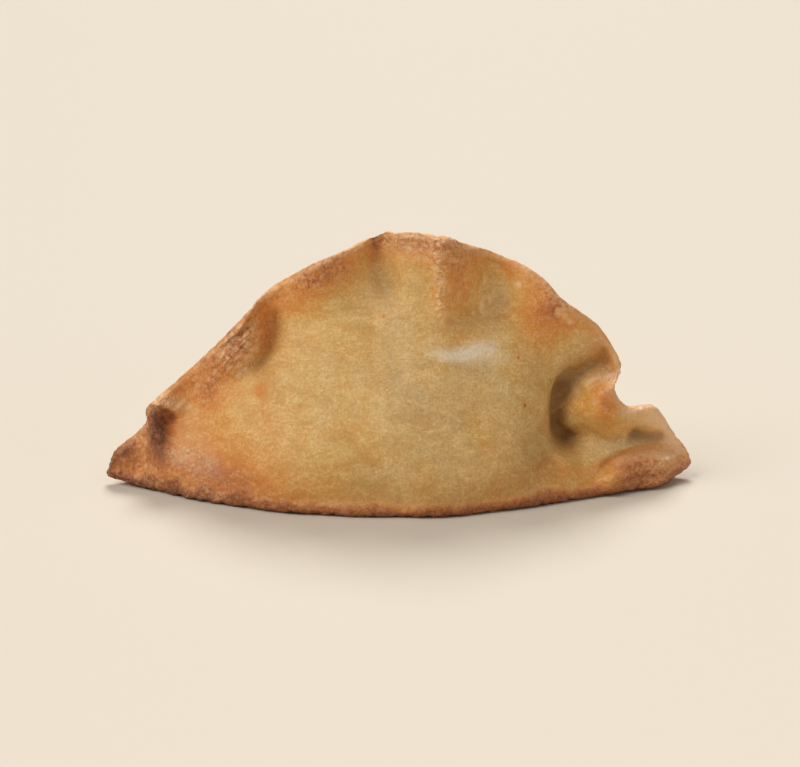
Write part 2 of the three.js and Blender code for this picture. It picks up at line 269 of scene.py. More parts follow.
def relief(face, x, z):
    height = np.zeros(x.shape)
    for fold in face["folds"]:
        height += fold["height"] * foldShare(fold, x, z)
    for swell in face["swells"]:
        height += swell["height"] * bell(spotDistance(swell, x, z) ** swell.get("firmness", 1))
    return height + slowWaves(face, x, z)


def ribsAt(stations):
    table = curveThrough(ribs, stations).T[:, :, None]
    rimX, footX = table[0] * halfLength, table[2] * halfLength
    rimZ, footZ = table[1] * form["height"], np.maximum(0, table[3]) * form["height"]
    inside = np.sin(np.pi * stations / (len(ribs) - 1))[:, None]
    wear = sum(strength * np.sin(pace * stations + start) for pace, start, strength in form["rimWaves"])
    rimZ = rimZ + form["rimWear"] * inside * wear[:, None]
    length = np.hypot(rimX - footX, rimZ - footZ)
    return {"rimX": rimX, "rimZ": rimZ, "footX": footX, "footZ": footZ, "lean": table[4],
            "neck": table[5], "bow": table[6], "length": length, "seam": (1 - table[5]) * length}


def halfThickness(rib, x, shares):                # half the dough's depth, before the folds
    aboveBase = shares * rib["length"]
    belowRim = (1 - shares) * rib["length"]
    thinning = np.clip(belowRim / rib["seam"], 0, 1)
    dough = (form["rimThickness"] + (form["neckThickness"] - form["rimThickness"]) * thinning) / 2
    fromTip = smoothStep(1 - np.abs(x) / halfLength, 0, form["tipThinning"])
    dough = dough * (form["tipDough"] + (1 - form["tipDough"]) * fromTip)
    along = np.minimum(1, np.abs(x) / (form["bellyReach"] * halfLength))
    belly = form["depth"] / 2 * (1 - along ** form["bellyTaper"]) ** form["bellyPoint"]
    dome = (1 - np.minimum(1, shares / rib["neck"]) ** form["domeFullness"]) ** form["domeShoulder"]
    blend = form["seamBlend"]
    half = (dough ** blend + (belly * dome) ** blend) ** (1 / blend)
    half = half + form["baseLip"] * bell(aboveBase / form["baseEdge"] - 1)
    half = half - np.minimum(form["baseEdge"], half / 2) * (1 - rounding(aboveBase, form["baseEdge"]))
    return half * rounding(belowRim, form["rimThickness"] / 2)


def faceGrid(face, rib, shares):
    acrossX, acrossZ = rib["rimX"] - rib["footX"], rib["rimZ"] - rib["footZ"]
    aside = rib["bow"] / rib["length"] * 4 * shares * (1 - shares)      # the whole bow in the middle
    x = rib["footX"] + acrossX * shares - acrossZ * aside
    z = rib["footZ"] + acrossZ * shares + acrossX * aside
    aboveBase = shares * rib["length"]
    belowRim = (1 - shares) * rib["length"]
    sway = rib["lean"] * smoothStep(1 - belowRim / (form["swayReach"] * rib["seam"]), 0, 1)
    middle = form["tipBend"] * smoothStep(x / halfLength, 0, form["tipBendEnd"]) + sway
    half = halfThickness(rib, x, shares)
    awayFromRim = np.clip(belowRim / form["rimThickness"], 0, 1)
    foldStrength = form["rimRelief"] + (1 - form["rimRelief"]) * awayFromRim
    outward = softMaximum(half + relief(face, x, z) * foldStrength, -form["deepest"] * half)
    points = np.stack([x, middle + face["side"] * outward, z], -1)
    return {"points": points, "along": x, "level": z, "belowRim": belowRim, "aboveBase": aboveBase,
            "ridge": face["side"] * sway}


def ring(front, back, base):                      # front up, back down, base towards the front
    return np.concatenate([front, back[:, -2::-1], base], 1)


def pastryGrid():
    stations = np.linspace(0, len(ribs) - 1, form["columns"])
    rib = ribsAt(stations)
    even = np.linspace(0, 1, form["faceRows"])
    gathered = 0.5 - 0.5 * np.cos(np.pi * even)
    shares = (form["evenRows"] * even + (1 - form["evenRows"]) * gathered)[None, :]
    front = faceGrid(frontFace, rib, shares)
    back = faceGrid(backFace, rib, shares)
    across = np.linspace(0, 1, form["baseRows"] + 2)[1:-1][None, :, None]
    base = back["points"][:, :1] * (1 - across) + front["points"][:, :1] * across
    flat = np.zeros(base.shape[:2])
    grid = {"points": ring(front["points"], back["points"], base)}
    onBase = {"along": base[..., 0], "level": flat, "belowRim": flat + form["height"],
              "aboveBase": flat, "ridge": flat}
    for name, values in onBase.items():
        grid[name] = ring(front[name], back[name], values)
    rows = [form["faceRows"], form["faceRows"] - 1, form["baseRows"]]
    sides = np.repeat([frontFace["side"], backFace["side"], 0], rows)      # 0 is the base
    grid["side"] = sides[None, :] + np.zeros(grid["belowRim"].shape)
    low, high = grid["points"].min((0, 1)), grid["points"].max((0, 1))
    fitted = (grid["points"] - low) / (high - low)
    grid["points"] = pastryBox[0] + fitted * (pastryBox[1] - pastryBox[0])
    print("turnover shaped:", form["columns"], "columns of", sum(rows), "points")
    return grid


def outwardNormals(points, leastLength=1e-9):
    alongRim = np.gradient(points, axis=0)
    roundRing = np.roll(points, -1, 1) - np.roll(points, 1, 1)
    normals = np.cross(roundRing, alongRim)
    return normals / np.maximum(np.linalg.norm(normals, axis=-1, keepdims=True), leastLength)


# Fine surface: low waves, grain, crumbly crust on the browned folds and the base edge, bubbles

crustRelief = {
    "seed": 11,
    "waves": (6.5, 0.15, 0),      # size and height in mm, and what is added to the seed
    "dimples": (2.4, 0.07, 5),
    "grain": (1.1, 0.035, 10),
    "granules": (1.5, 1.25, 20),  # rounded crumbs of the crusty places
    "crumbs": (1.9, 0.2, 30),     # along the base edge
    "underside": (2.0, 0.03, 50),
    "crustPatches": (5.0, 0.6, 40),               # size in mm, swing, and what is added to the seed
    "granulePatches": (4.0, 0.9, 60),
    "crustCover": 0.75,           # how much of the crusty places is crumbly
    "granuleCover": 0.8,
    "crumbReach": 2.4,            # how far the crumbs reach up from the base edge, mm
    "rimCrust": (0.35, 2.5),      # crustiness at the rim and how far down it reaches, mm
    "baseCrust": (0.4, 2.4),
    "hollows": 0.25,              # crust that rises less than this is a hollow, painted darker as shade, mm
    "bubbleShow": 1.6,            # how much paler a bubble is than crust of the same height
    "frontCrust": [
        {"at": (-0.803, 0.235), "reach": (2.6, 7.0), "turn": -6, "amount": 0.3},    # left pillar
        {"at": (-0.765, 0.335), "reach": (4.5, 1.8), "turn": -14, "amount": 0.7},   # flap over the pillar
        {"at": (-0.87, 0.085), "reach": (6.5, 2.6), "turn": -8, "amount": 0.1},     # left tip
        {"at": (-0.545, 0.555), "reach": (3.4, 8.0), "turn": -38, "amount": 1.0},   # left roll
        {"at": (-0.25, 0.82), "reach": (9.0, 3.2), "turn": 22, "amount": 0.8},      # left of the crown
        {"at": (0.03, 0.965), "reach": (7.0, 2.4), "turn": 0, "amount": 0.8},       # crown
        {"at": (0.16, 0.86), "reach": (4.6, 7.5), "turn": 0, "amount": 1.0},        # right of the crown
        {"at": (0.53, 0.73), "reach": (7.5, 3.0), "turn": -42, "amount": 0.4},      # right rim
        {"at": (0.715, 0.42), "reach": (4.0, 1.6), "turn": -8, "amount": 0.6},      # ledge
        {"at": (0.83, 0.075), "reach": (9.0, 3.2), "turn": 6, "amount": 0.8},       # right roll
        {"at": (-0.6, 0.035), "reach": (17.0, 2.6), "turn": 0, "amount": 0.35},     # base edge
    ],
    "backCrust": [
        {"at": (-0.55, 0.58), "reach": (4.0, 7.0), "turn": -38, "amount": 0.8},
        {"at": (-0.05, 0.86), "reach": (7.0, 5.0), "turn": 0, "amount": 0.9},
        {"at": (0.38, 0.8), "reach": (8.0, 3.4), "turn": -25, "amount": 0.8},
        {"at": (0.72, 0.4), "reach": (5.0, 5.0), "turn": 0, "amount": 0.7},
        {"at": (-0.8, 0.2), "reach": (6.0, 6.0), "turn": 0, "amount": 0.7},
    ],
    "bubbles": [                  # along and up as shares, then half width, half height and rise in mm
        (0.535, 0.69, 1.1, 1.3, 0.32), (0.556, 0.668, 0.8, 1.4, 0.28), (0.577, 0.642, 1.0, 1.1, 0.32),
        (0.553, 0.7, 0.7, 0.6, 0.2), (0.6, 0.6, 0.9, 0.7, 0.25), (0.62, 0.54, 0.6, 0.6, 0.25),
        (0.67, 0.555, 0.7, 0.6, 0.25), (0.4, 0.79, 0.9, 0.8, 0.3), (0.29, 0.8, 0.6, 1.7, 0.3),
        (0.277, 0.71, 0.7, 2.0, 0.3), (0.305, 0.73, 0.5, 1.5, 0.25), (0.118, 0.88, 0.6, 0.5, 0.35),
        (0.137, 0.83, 0.6, 1.0, 0.45), (0.152, 0.79, 0.5, 0.5, 0.3), (0.135, 0.745, 0.5, 0.6, 0.3),
        (0.152, 0.705, 0.7, 0.6, 0.4), (-0.485, 0.555, 0.8, 0.7, 0.35), (-0.588, 0.545, 0.9, 0.7, 0.5),
        (-0.553, 0.612, 0.8, 1.0, 0.6), (-0.526, 0.646, 0.9, 0.8, 0.6), (-0.505, 0.583, 1.0, 0.8, 0.65),
        (-0.539, 0.538, 1.1, 0.9, 0.65), (-0.567, 0.492, 1.0, 0.8, 0.55), (-0.496, 0.526, 0.8, 1.0, 0.55),
        (-0.522, 0.472, 0.9, 0.7, 0.5), (-0.472, 0.55, 0.7, 0.7, 0.45), (-0.51, 0.53, 0.7, 0.6, 0.3),
        (-0.53, 0.5, 0.9, 0.8, 0.35), (-0.58, 0.505, 0.7, 0.6, 0.3), (-0.635, 0.43, 0.9, 0.7, 0.3),
        (-0.68, 0.4, 0.7, 0.6, 0.3), (-0.6, 0.46, 0.6, 0.5, 0.25),
    ],
    "frontGranules": [            # where the crust is strewn with pale granules
        {"at": (-0.53, 0.53), "reach": (2.8, 6.5), "turn": -40, "amount": 1.9},     # left roll
        {"at": (-0.6, 0.42), "reach": (5.0, 2.4), "turn": 35, "amount": 0.8},       # below the left roll
        {"at": (-0.77, 0.335), "reach": (4.5, 1.8), "turn": -14, "amount": 1.3},    # flap at the left
        {"at": (-0.855, 0.19), "reach": (1.4, 5.0), "turn": 0, "amount": 0.7},      # left pillar
        {"at": (-0.8, 0.1), "reach": (4.0, 2.0), "turn": 0, "amount": 0.5},         # under the pillar
        {"at": (-0.69, 0.15), "reach": (5.5, 2.4), "turn": -8, "amount": 1.4},      # right of the pillar
        {"at": (-0.93, 0.05), "reach": (5.0, 1.4), "turn": -6, "amount": 0.5},      # left tip
        {"at": (0.03, 0.955), "reach": (8.0, 2.4), "turn": 0, "amount": 1.2},       # crown
        {"at": (0.135, 0.83), "reach": (1.5, 9.0), "turn": 2, "amount": 1.7},       # ridge
        {"at": (-0.25, 0.85), "reach": (8.0, 2.0), "turn": 22, "amount": 0.5},      # left of the crown
        {"at": (0.5, 0.73), "reach": (7.0, 2.4), "turn": -42, "amount": 0.5},       # right rim
        {"at": (0.715, 0.425), "reach": (3.6, 1.2), "turn": -8, "amount": 0.9},     # ledge
        {"at": (0.85, 0.105), "reach": (7.0, 1.2), "turn": 6, "amount": 0.8},       # right roll
        {"at": (-0.5, 0.05), "reach": (22.0, 1.6), "turn": 0, "amount": 0.3},       # base edge
    ],
    "backGranules": [
        {"at": (-0.5, 0.62), "reach": (3.0, 7.0), "turn": -40, "amount": 0.8},
        {"at": (0.0, 0.92), "reach": (10.0, 3.0), "turn": 0, "amount": 0.8},
        {"at": (0.5, 0.7), "reach": (8.0, 3.0), "turn": -40, "amount": 0.7},
        {"at": (-0.75, 0.15), "reach": (8.0, 4.0), "turn": 0, "amount": 0.7},
    ],
    "smallBubbles": {
        "count": 900,
        "radius": (0.3, 0.7),     # mm
        "rise": (0.15, 0.4),      # shares of the radius
        "leastCrust": 0.02,       # smoother dough than this has none
    },
}

randomField = {
    "tableSize": 4096,
    "mixers": (73856093, 19349663, 83492791),     # large primes that scatter the lattice over the table
    "layers": 3,                                  # each finer and weaker than the one before
    "finer": 2,
    "weaker": 1.8,
    "evenOut": 1.6,                               # brings the sum back to about -1 to 1
}


def latticeNoise(points, size, seed):             # smooth random values from -1 to 1
    table = np.random.default_rng(seed).uniform(-1, 1, randomField["tableSize"])
    cell = points / size
    corner = np.floor(cell).astype(np.int64)
    part = cell - corner
    ease = part ** 3 * (part * (part * 6 - 15) + 10)      # level at both ends
    total = np.zeros(points.shape[:-1])
    for step in np.ndindex(2, 2, 2):
        weight = np.prod(np.where(np.array(step), ease, 1 - ease), -1)
        key = (corner + step) * randomField["mixers"]
        total += weight * table[(key[..., 0] ^ key[..., 1] ^ key[..., 2]) % randomField["tableSize"]]
    return total


def layeredNoise(points, size, seed):
    total = np.zeros(points.shape[:-1])
    for layer in range(randomField["layers"]):
        finer = latticeNoise(points, size / randomField["finer"] ** layer, seed + layer)
        total += finer / randomField["weaker"] ** layer
    return total / randomField["evenOut"]


def crustLayer(points, name):
    size, height, seedStep = crustRelief[name]
    return height * layeredNoise(points, size, crustRelief["seed"] + seedStep)


def spotSum(spots, x, z):
    return sum(spot["amount"] * bell(spotDistance(spot, x, z)) for spot in spots)


def faceSum(grid, face, spots):                   # spots that lie on one face alone
    return (grid["side"] == face["side"]) * spotSum(spots, grid["along"], grid["level"])


def bothFaces(grid, frontSpots, backSpots):
    return faceSum(grid, frontFace, frontSpots) + faceSum(grid, backFace, backSpots)


def crustiness(grid):                             # 0 on smooth dough, 1 on crumbly crust
    rimAmount, rimReach = crustRelief["rimCrust"]
    baseAmount, baseReach = crustRelief["baseCrust"]
    amount = rimAmount * bell(grid["belowRim"] / rimReach)
    amount += baseAmount * bell(grid["aboveBase"] / baseReach)
    amount += bothFaces(grid, crustRelief["frontCrust"], crustRelief["backCrust"])
    patchy = crustRelief["crustCover"] + crustLayer(grid["points"], "crustPatches")
    return np.clip(amount * patchy, 0, 1) * (grid["side"] != 0)


def granuleShare(grid):                           # 1 where pale granules lie close together
    amount = bothFaces(grid, crustRelief["frontGranules"], crustRelief["backGranules"])
    patchy = crustRelief["granuleCover"] + crustLayer(grid["points"], "granulePatches")
    return np.clip(amount * patchy, 0, 1)


def placedBubbles(grid):                          # single bubbles listed for the front
    rise = np.zeros(grid["along"].shape)
    for along, up, halfWidth, halfHeight, height in crustRelief["bubbles"]:
        spot = {"at": (along, up), "turn": 0, "reach": (halfWidth, halfHeight)}
        rise += height * np.clip(1 - spotDistance(spot, grid["along"], grid["level"]) ** 2, 0, 1)
    return rise * (grid["side"] < 0)


def scatteredBubbles(points, weight):             # small bubbles where the crust is crumbly
    draw = np.random.default_rng(crustRelief["seed"])
    small = crustRelief["smallBubbles"]
    flat = points.reshape(-1, 3)
    picks = draw.choice(len(flat), small["count"], replace=False, p=weight.ravel() / weight.sum())
    radii = draw.uniform(*small["radius"], len(picks))
    heights = draw.uniform(*small["rise"], len(picks)) * radii
    tree = kdtree.KDTree(len(picks))
    for index, pick in enumerate(picks):
        tree.insert(flat[pick], index)
    tree.balance()
    rise = np.zeros(len(flat))
    for index in np.flatnonzero(weight.ravel() > small["leastCrust"]):
        _, nearest, distance = tree.find(flat[index])
        rise[index] = heights[nearest] * max(0.0, 1 - (distance / radii[nearest]) ** 2)
    return rise.reshape(weight.shape)


def addCrust(grid):
    points = grid["points"]
    crusty = crustiness(grid)
    rough = crusty * np.abs(crustLayer(points, "granules"))
    bubbles = placedBubbles(grid) + scatteredBubbles(points, crusty)
    nearBase = bell(grid["aboveBase"] / crustRelief["crumbReach"]) * (grid["side"] != 0)
    height = sum(crustLayer(points, name) for name in ("waves", "dimples", "grain"))
    height += rough + nearBase * crustLayer(points, "crumbs") + bubbles
    onBase = grid["side"] == 0
    height[onBase] = crustLayer(points, "underside")[onBase]
    grid["crusty"] = crusty
    grid["granules"] = granuleShare(grid)
    # higher crust is painted paler and hollows darker: pale blisters, painted light on the crumbs and
    # painted shade between them
    grid["raised"] = rough - crustRelief["hollows"] * crusty + crustRelief["bubbleShow"] * bubbles
    grid["points"] = points + outwardNormals(points) * height[..., None]
    grid["points"][..., 2] = np.maximum(grid["points"][..., 2], 0)     # nothing sinks into the floor
    print("crust relief done, crumbly share:", crusty.mean().round(3))


# How far the oven browned each place; flour, dry pale crust, glaze, painted shade and highlights

baking = {
    "body": 0.2,
    "rim": (0.32, 4.5),           # amount at the rim and how far down it reaches, mm
    "rimFall": 1.5,               # how suddenly that ends
    "ridge": 0.03,                # for each mm that a pleat stands out
    "tips": (0.12, 0.83),         # amount, and the share of the half length where it sets in
    "lip": (0.86, 2.6),           # tone along the base edge, and how far up it reaches
    "lipFall": 4,
    "lipLeft": (0.08, 0.35),      # added to the tone, and share added to the reach, at the left
    "lipLeftRange": (0.3, 0.8),   # shares of the half length where that sets in and is full
    "lipFade": (0.14, 6.0),       # browning over the lip, and how far up it reaches
    "lipLine": (0.3, 3.0, 0.4),   # pale line over the lip: amount, height and half width in mm
    "rimHighlight": (0.9, 0.5, 0.7),   # painted highlight along the rim's edge: amount, distance below it and half width in mm
    "rimHighlightBreaks": (1.2, 1.4),  # taken off so that it breaks up, and the most that is left
    "base": 0.66,                 # tone of the underside
    "patches": (9.0, 0.08, 91),   # uneven oven heat: size in mm, swing and seed
    "basePatches": (9.0, 0.12, 81),
    "ragged": (8.0, 0.5, 71),     # uneven edge of the browned rim
    "crumbly": (3.0, 0.25, 75),   # uneven edge of the lip
    "crumblyLeft": 0.4,           # swing added at the left
    "crumblyLeftRange": (0.2, 0.6),
    "raisedPale": 0.3,            # browning lost for each mm that crust is raised: paler blisters and painted light on the crumbs
    "raisedStart": 6.0,           # height above the base where it is lost in full, mm
    "bubbleRange": (0.08, 0.5),   # how far crust is raised where it starts to pale, and is pale: blisters, and painted light on crumb tops
    "bubbleStart": 4.0,           # height above the base where it is so in full, mm
    "dryRange": (0.3, 1.2),       # least and most of the dry crust's patchiness
    "frontSpots": [
        {"at": (-0.6, 0.22), "reach": (14.0, 8.0), "turn": 10, "amount": 0.22},     # left of the belly
        {"at": (0.12, 0.42), "reach": (24.0, 16.0), "turn": 0, "amount": -0.06},    # middle of the belly
        {"at": (-0.6, 0.1), "reach": (20.0, 5.0), "turn": 0, "amount": 0.33},       # over the base edge
        {"at": (-0.805, 0.225), "reach": (2.9, 6.2), "turn": -4, "amount": 0.61},   # left pillar
        {"at": (-0.92, 0.12), "reach": (6.0, 6.0), "turn": 0, "amount": 0.24},      # left tip
        {"at": (-0.866, 0.15), "reach": (1.4, 3.6), "turn": 0, "amount": -0.16},    # beside the pillar
        {"at": (-0.765, 0.335), "reach": (4.0, 1.8), "turn": -14, "amount": -0.3},  # flap over the pillar
        {"at": (-0.638, 0.41), "reach": (9.0, 4.6), "turn": 43, "amount": 0.42},    # below the left roll
        {"at": (-0.54, 0.56), "reach": (3.6, 7.5), "turn": -38, "amount": 0.2},     # left roll
        {"at": (-0.38, 0.72), "reach": (7.0, 4.6), "turn": 40, "amount": 0.22},     # over the left roll
        {"at": (-0.44, 0.585), "reach": (1.5, 3.6), "turn": -10, "amount": 0.24},   # behind the left roll: browner crust and painted shade
        {"at": (-0.22, 0.84), "reach": (7.5, 3.6), "turn": 22, "amount": 0.13},     # left of the crown
        {"at": (-0.03, 0.78), "reach": (3.0, 6.0), "turn": 8, "amount": -0.1},      # pale crease
        {"at": (-0.075, 0.94), "reach": (1.3, 3.6), "turn": 8, "amount": 0.36},     # top of the crease
        {"at": (0.04, 0.95), "reach": (6.0, 2.4), "turn": 0, "amount": 0.2},        # crown
        {"at": (0.14, 0.95), "reach": (4.5, 3.0), "turn": -10, "amount": -0.06},    # right end of the crown
        {"at": (0.37, 0.85), "reach": (2.4, 2.6), "turn": 0, "amount": 0.16},       # over the valley
        {"at": (0.235, 0.9), "reach": (2.6, 2.4), "turn": 0, "amount": 0.08},       # over the ridge
        {"at": (0.575, 0.685), "reach": (2.0, 2.0), "turn": 0, "amount": -0.16},    # bubbles by the rim
        {"at": (0.775, 0.285), "reach": (2.4, 2.0), "turn": 0, "amount": -0.22},    # by the small bump
        {"at": (0.06, 0.83), "reach": (3.5, 6.0), "turn": 0, "amount": -0.07},      # left of the ridge
        {"at": (0.2, 0.79), "reach": (4.2, 8.5), "turn": -4, "amount": 0.27},       # ridge
        {"at": (0.33, 0.76), "reach": (4.0, 8.0), "turn": -8, "amount": -0.08},     # pale valley
        {"at": (0.48, 0.7), "reach": (6.0, 5.0), "turn": -40, "amount": 0.29},      # right rim
        {"at": (0.69, 0.51), "reach": (2.6, 4.0), "turn": 10, "amount": 0.06},      # lobe
        {"at": (0.53, 0.745), "reach": (5.0, 2.4), "turn": -42, "amount": -0.1},    # edge of the rim
        {"at": (0.63, 0.52), "reach": (4.0, 3.4), "turn": 0, "amount": 0.1},        # inside the lobe
        {"at": (0.47, 0.6), "reach": (5.0, 5.0), "turn": -30, "amount": 0.08},      # below the rim
        {"at": (0.685, 0.345), "reach": (1.4, 6.5), "turn": 10, "amount": 0.16},    # big fold
        {"at": (0.72, 0.36), "reach": (4.0, 6.0), "turn": 0, "amount": -0.12},      # right of the big fold
        {"at": (0.68, 0.395), "reach": (3.0, 1.3), "turn": 10, "amount": 0.1},      # under the ledge
        {"at": (0.86, 0.275), "reach": (5.0, 4.0), "turn": 0, "amount": -0.3},      # small bump
        {"at": (0.94, 0.13), "reach": (5.0, 5.0), "turn": 0, "amount": -0.44},      # right tip
        {"at": (0.74, 0.15), "reach": (8.0, 3.4), "turn": 5, "amount": -0.22},      # over the right roll
        {"at": (0.66, 0.24), "reach": (4.0, 3.0), "turn": 0, "amount": -0.1},       # foot of the big fold
        {"at": (0.63, 0.34), "reach": (3.0, 5.0), "turn": 10, "amount": 0.03},      # by the groove
        {"at": (0.82, 0.06), "reach": (9.5, 2.6), "turn": 5, "amount": 0.54},       # under the right roll
        {"at": (0.79, 0.118), "reach": (7.5, 1.4), "turn": 5, "amount": 0.5},       # right roll
        {"at": (0.55, 0.12), "reach": (7.0, 3.0), "turn": 0, "amount": 0.12},       # below the groove
        {"at": (-0.464, 0.411), "reach": (1.6, 1.1), "turn": 35, "amount": 0.32},   # red blush
        {"at": (-0.44, 0.36), "reach": (1.2, 2.6), "turn": 20, "amount": 0.1},      # tail of the blush
    ],
    "backSpots": [
        {"at": (-0.5, 0.2), "reach": (16.0, 8.0), "turn": -8, "amount": 0.16},
        {"at": (0.35, 0.12), "reach": (18.0, 6.0), "turn": 4, "amount": 0.18},
        {"at": (0.0, 0.8), "reach": (9.0, 6.0), "turn": 0, "amount": 0.22},
        {"at": (-0.6, 0.45), "reach": (6.0, 5.0), "turn": 30, "amount": 0.22},
        {"at": (0.55, 0.5), "reach": (6.0, 5.0), "turn": -30, "amount": 0.2},
    ],
    "shadeSpots": [               # painted shade: greyer, darker dough
        {"at": (0.47, 0.19), "reach": (5.0, 8.0), "turn": 0, "amount": 0.23},       # by the groove
        {"at": (0.12, 0.42), "reach": (24.0, 16.0), "turn": 0, "amount": 0.09},     # middle of the belly
        {"at": (0.22, 0.655), "reach": (8.0, 2.6), "turn": 0, "amount": 0.14},      # over the flour
        {"at": (0.08, 0.06), "reach": (34.0, 7.0), "turn": 0, "amount": 0.2},       # over the base edge
        {"at": (0.572, 0.2), "reach": (2.2, 2.6), "turn": 0, "amount": 0.2},        # foot of the groove
        {"at": (0.72, 0.19), "reach": (6.0, 2.4), "turn": 0, "amount": 0.15},       # foot of the fold
    ],
    "flourSpots": [
        {"at": (0.165, 0.557), "reach": (4.6, 1.3), "turn": -6, "amount": 0.95},
        {"at": (0.26, 0.568), "reach": (4.6, 1.8), "turn": 8, "amount": 1.0},
        {"at": (0.32, 0.535), "reach": (4.4, 2.0), "turn": 0, "amount": 0.5},
    ],
    "drySpots": [                 # pinkish pale crust
        {"at": (-0.69, 0.15), "reach": (6.5, 2.2), "turn": -8, "amount": 0.6},      # right of the pillar
        {"at": (-0.765, 0.335), "reach": (4.0, 1.6), "turn": -14, "amount": 0.6},   # flap at the left
        {"at": (0.03, 0.95), "reach": (5.0, 2.5), "turn": 0, "amount": 0.4},        # crown
        {"at": (0.7, 0.425), "reach": (3.4, 0.7), "turn": 4, "amount": 0.7},        # ledge, partly a painted highlight
        {"at": (0.68, 0.57), "reach": (4.0, 5.0), "turn": 10, "amount": 0.4},       # lobe
        {"at": (0.86, 0.27), "reach": (4.5, 3.5), "turn": 0, "amount": 0.45},       # small bump
        {"at": (0.92, 0.16), "reach": (3.0, 4.0), "turn": 0, "amount": 0.3},        # right tip
        {"at": (0.97, 0.08), "reach": (4.0, 4.0), "turn": 0, "amount": 0.5},        # end of the tip
    ],
    "glazeSpots": [               # where the egg wash shines
        {"at": (-0.62, 0.2), "reach": (13.0, 8.0), "turn": 10, "amount": 0.7},      # left of the belly
        {"at": (0.66, 0.32), "reach": (5.0, 6.5), "turn": 0, "amount": 1.0},        # big fold
    ],
    "specks": [(0.398, 0.525), (0.418, 0.363), (-0.05, 0.68)],    # burnt crumbs
    "speckSize": 0.24,
}


def unevenness(points, name, moreSwing=0.0):
    size, swing, seed = baking[name]
    return (swing + moreSwing) * layeredNoise(points, size, seed)


def toLeft(x, rangeName):                         # rises to 1 towards the left tip
    return smoothStep(-x / halfLength, *baking[rangeName])


def foldMarks(grid, key):                         # painted shades and pale lines that follow the folds
    marks = np.zeros(grid["along"].shape)
    for face in (frontFace, backFace):
        onFace = grid["side"] == face["side"]
        for fold in face["folds"]:
            if key in fold:
                marks += fold[key] * onFace * foldShare(fold, grid["along"], grid["level"])
    return marks


def browning(grid, ragged, crumbly):
    points, x, z = grid["points"], grid["along"], grid["level"]
    rimAmount, rimReach = baking["rim"]
    fadeAmount, fadeReach = baking["lipFade"]
    tipAmount, tipStart = baking["tips"]
    brown = baking["body"] + unevenness(points, "patches") + baking["ridge"] * grid["ridge"]
    brown += rimAmount * np.exp(-(grid["belowRim"] / (rimReach * ragged)) ** baking["rimFall"])
    brown += fadeAmount * bell(grid["aboveBase"] / (fadeReach * ragged))
    brown += tipAmount * smoothStep(np.abs(x), tipStart * halfLength, halfLength)
    brown += bothFaces(grid, baking["frontSpots"], baking["backSpots"])

    lipTone, lipReach = baking["lip"]
    moreTone, moreReach = baking["lipLeft"]
    left = toLeft(x, "lipLeftRange")
    lipReach = lipReach * (1 + moreReach * left) * crumbly
    lipShare = np.exp(-(grid["aboveBase"] / lipReach) ** baking["lipFall"])
    brown += (lipTone + moreTone * left - brown) * lipShare

    for speck in baking["specks"]:
        centre = place(speck)
        brown += (grid["side"] < 0) * bell(np.hypot(x - centre[0], z - centre[1]) / baking["speckSize"])
    # raised crust paler, hollows browner: partly painted light and shade
    paling = smoothStep(grid["aboveBase"], 0, baking["raisedStart"])
    brown -= grid["raised"] * baking["raisedPale"] * paling
    onBase = grid["side"] == 0
    brown[onBase] = baking["base"] + unevenness(points, "basePatches")[onBase]
    return brown


def paleLinesAndHighlights(grid, ragged, crumbly):
    lineAmount, lineUp, lineReach = baking["lipLine"]
    edgeAmount, edgeDown, edgeReach = baking["rimHighlight"]
    breakOff, most = baking["rimHighlightBreaks"]
    overLip = bell((grid["aboveBase"] - lineUp * crumbly) / lineReach) * (grid["side"] < 0)
    broken = np.clip(ragged + crumbly - breakOff, 0, most)
    # painted highlight along the rim's edge, broken up
    paintedRimHighlight = broken * bell((grid["belowRim"] - edgeDown) / edgeReach)
    bubbles = smoothStep(grid["raised"], *baking["bubbleRange"])
    bubbles = bubbles * smoothStep(grid["aboveBase"], 0, baking["bubbleStart"])
    return foldMarks(grid, "pale") + lineAmount * overLip + edgeAmount * paintedRimHighlight + bubbles


def bake(grid):
    points = grid["points"]
    ragged = 1 + unevenness(points, "ragged")
    leftSwing = baking["crumblyLeft"] * toLeft(grid["along"], "crumblyLeftRange")
    crumbly = 1 + unevenness(points, "crumbly", leftSwing)
    brown = browning(grid, ragged, crumbly)
    grid["brown"] = np.clip(brown, 0, 1)
    # painted shade from the spots and the folds
    shade = faceSum(grid, frontFace, baking["shadeSpots"]) + foldMarks(grid, "shade")
    grid["shade"] = np.clip(shade, 0, 1)
    grid["pale"] = paleLinesAndHighlights(grid, ragged, crumbly)
    grid["flour"] = faceSum(grid, frontFace, baking["flourSpots"])
    grid["dry"] = faceSum(grid, frontFace, baking["drySpots"]) * np.clip(ragged, *baking["dryRange"])
    grid["glaze"] = np.clip(faceSum(grid, frontFace, baking["glazeSpots"]), 0, 1)
    print("browning from", brown.min().round(2), "to", brown.max().round(2))


bakedNames = ("brown", "shade", "crusty", "granules", "pale", "flour", "dry", "glaze")


